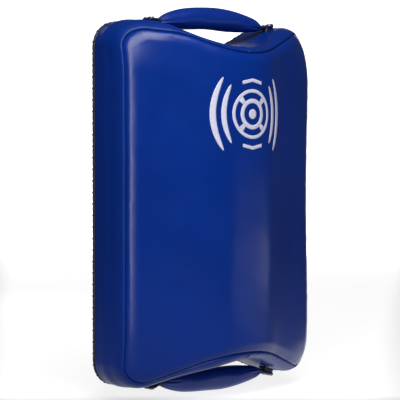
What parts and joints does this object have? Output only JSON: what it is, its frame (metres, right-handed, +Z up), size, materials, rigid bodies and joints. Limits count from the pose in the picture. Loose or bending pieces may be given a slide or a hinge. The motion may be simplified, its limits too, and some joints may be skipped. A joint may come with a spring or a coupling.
{
  "type": "kick shield",
  "caption": "Stuffed leather kick shield with a ridged striking face, dipped ends spanned by padded handles, and forearm straps and a grip on its flat back.",
  "frame": {"origin": "centre of the back panel's outer face", "axes": "+Z up the shield, -Y towards the striking face, X across; +Y towards the holder"},
  "size_m": [0.406, 0.2451, 0.631],
  "materials": {
    "front_leather": "smooth semi-gloss blue artificial leather",
    "gusset_leather": "smooth semi-gloss blue artificial leather, softly puckered",
    "back_leather": "black grained artificial leather",
    "edge_leather": "black bound edge",
    "lace_cord": "black waxed cord",
    "handle_leather": "soft wrinkled blue artificial leather",
    "tab_leather": "dark folded leather tab",
    "strap_leather": "blue artificial leather, stitched edge",
    "pad_lining": "black padded lining cloth",
    "webbing": "black woven webbing",
    "hook_tape": "black hook tape",
    "loop_tape": "black loop tape",
    "roll_foam": "soft rolled foam",
    "striking_foam": "soft open-cell foam",
    "core_foam": "closed-cell foam",
    "base_foam": "firm closed-cell foam board",
    "ring_steel": "nickel-plated wire",
    "rivet_metal": "nickel-plated cap rivet"
  },
  "bodies": {
    "shield": {"front_panel": "front_leather", "left_gusset": "gusset_leather", "right_gusset": "gusset_leather", "back_panel": "back_leather", "back_welt": "edge_leather", "back_lacing": "lace_cord", "striking_foam": "striking_foam", "core_foam": "core_foam", "base_foam": "base_foam", "top_handle_tabs": "tab_leather", "top_handle_rivets": "rivet_metal", "top_handle_washers": "rivet_metal", "bottom_handle_tabs": "tab_leather", "bottom_handle_rivets": "rivet_metal", "bottom_handle_washers": "rivet_metal", "grip_tabs": "tab_leather", "grip_rivets": "rivet_metal", "grip_washers": "rivet_metal", "upper_strap_band": "strap_leather", "upper_strap_pad": "pad_lining", "upper_strap_closure": "webbing", "upper_strap_loop_tape": "loop_tape", "upper_strap_ring_tab": "tab_leather", "upper_strap_rivets": "rivet_metal", "upper_strap_washers": "rivet_metal", "lower_strap_band": "strap_leather", "lower_strap_pad": "pad_lining", "lower_strap_closure": "webbing", "lower_strap_loop_tape": "loop_tape", "lower_strap_ring_tab": "tab_leather", "lower_strap_rivets": "rivet_metal", "lower_strap_washers": "rivet_metal"},
    "top_handle": {"top_handle_cover": "handle_leather", "top_handle_foam": "roll_foam", "top_handle_webbing": "webbing"},
    "bottom_handle": {"bottom_handle_cover": "handle_leather", "bottom_handle_foam": "roll_foam", "bottom_handle_webbing": "webbing"},
    "grip": {"grip_cover": "handle_leather", "grip_foam": "roll_foam", "grip_webbing": "webbing"},
    "upper_ring": {"upper_strap_ring": "ring_steel"},
    "lower_ring": {"lower_strap_ring": "ring_steel"},
    "upper_tail": {"upper_strap_tail": "webbing", "upper_strap_hook_tape": "hook_tape"},
    "lower_tail": {"lower_strap_tail": "webbing", "lower_strap_hook_tape": "hook_tape"}
  },
  "joints": [
    {"name": "top_handle_swing", "type": "hinge", "parent": "shield", "child": "top_handle", "pos_m": [0, -0.057, 0.294], "axis": [1, 0, 0], "range_deg": [-40, 40], "stiffness_Nm_per_rad": 0.6},
    {"name": "bottom_handle_swing", "type": "hinge", "parent": "shield", "child": "bottom_handle", "pos_m": [0, -0.057, -0.292], "axis": [1, 0, 0], "range_deg": [-40, 40], "stiffness_Nm_per_rad": 0.6},
    {"name": "grip_swing", "type": "hinge", "parent": "shield", "child": "grip", "pos_m": [0, 0.0135, 0.178], "axis": [1, 0, 0], "range_deg": [-60, 60], "stiffness_Nm_per_rad": 0.5},
    {"name": "upper_ring_swivel", "type": "hinge", "parent": "shield", "child": "upper_ring", "pos_m": [0.0645, 0.0065, 0.052], "axis": [0, 0, 1], "range_deg": [-9, 9]},
    {"name": "upper_tail_peel", "type": "hinge", "parent": "shield", "child": "upper_tail", "pos_m": [0.071, 0.026, 0.052], "axis": [0, 0, -1], "range_deg": [0, 100]},
    {"name": "lower_ring_swivel", "type": "hinge", "parent": "shield", "child": "lower_ring", "pos_m": [0.0645, 0.0065, -0.108], "axis": [0, 0, 1], "range_deg": [-9, 9]},
    {"name": "lower_tail_peel", "type": "hinge", "parent": "shield", "child": "lower_tail", "pos_m": [0.071, 0.026, -0.108], "axis": [0, 0, -1], "range_deg": [0, 100]}
  ]
}
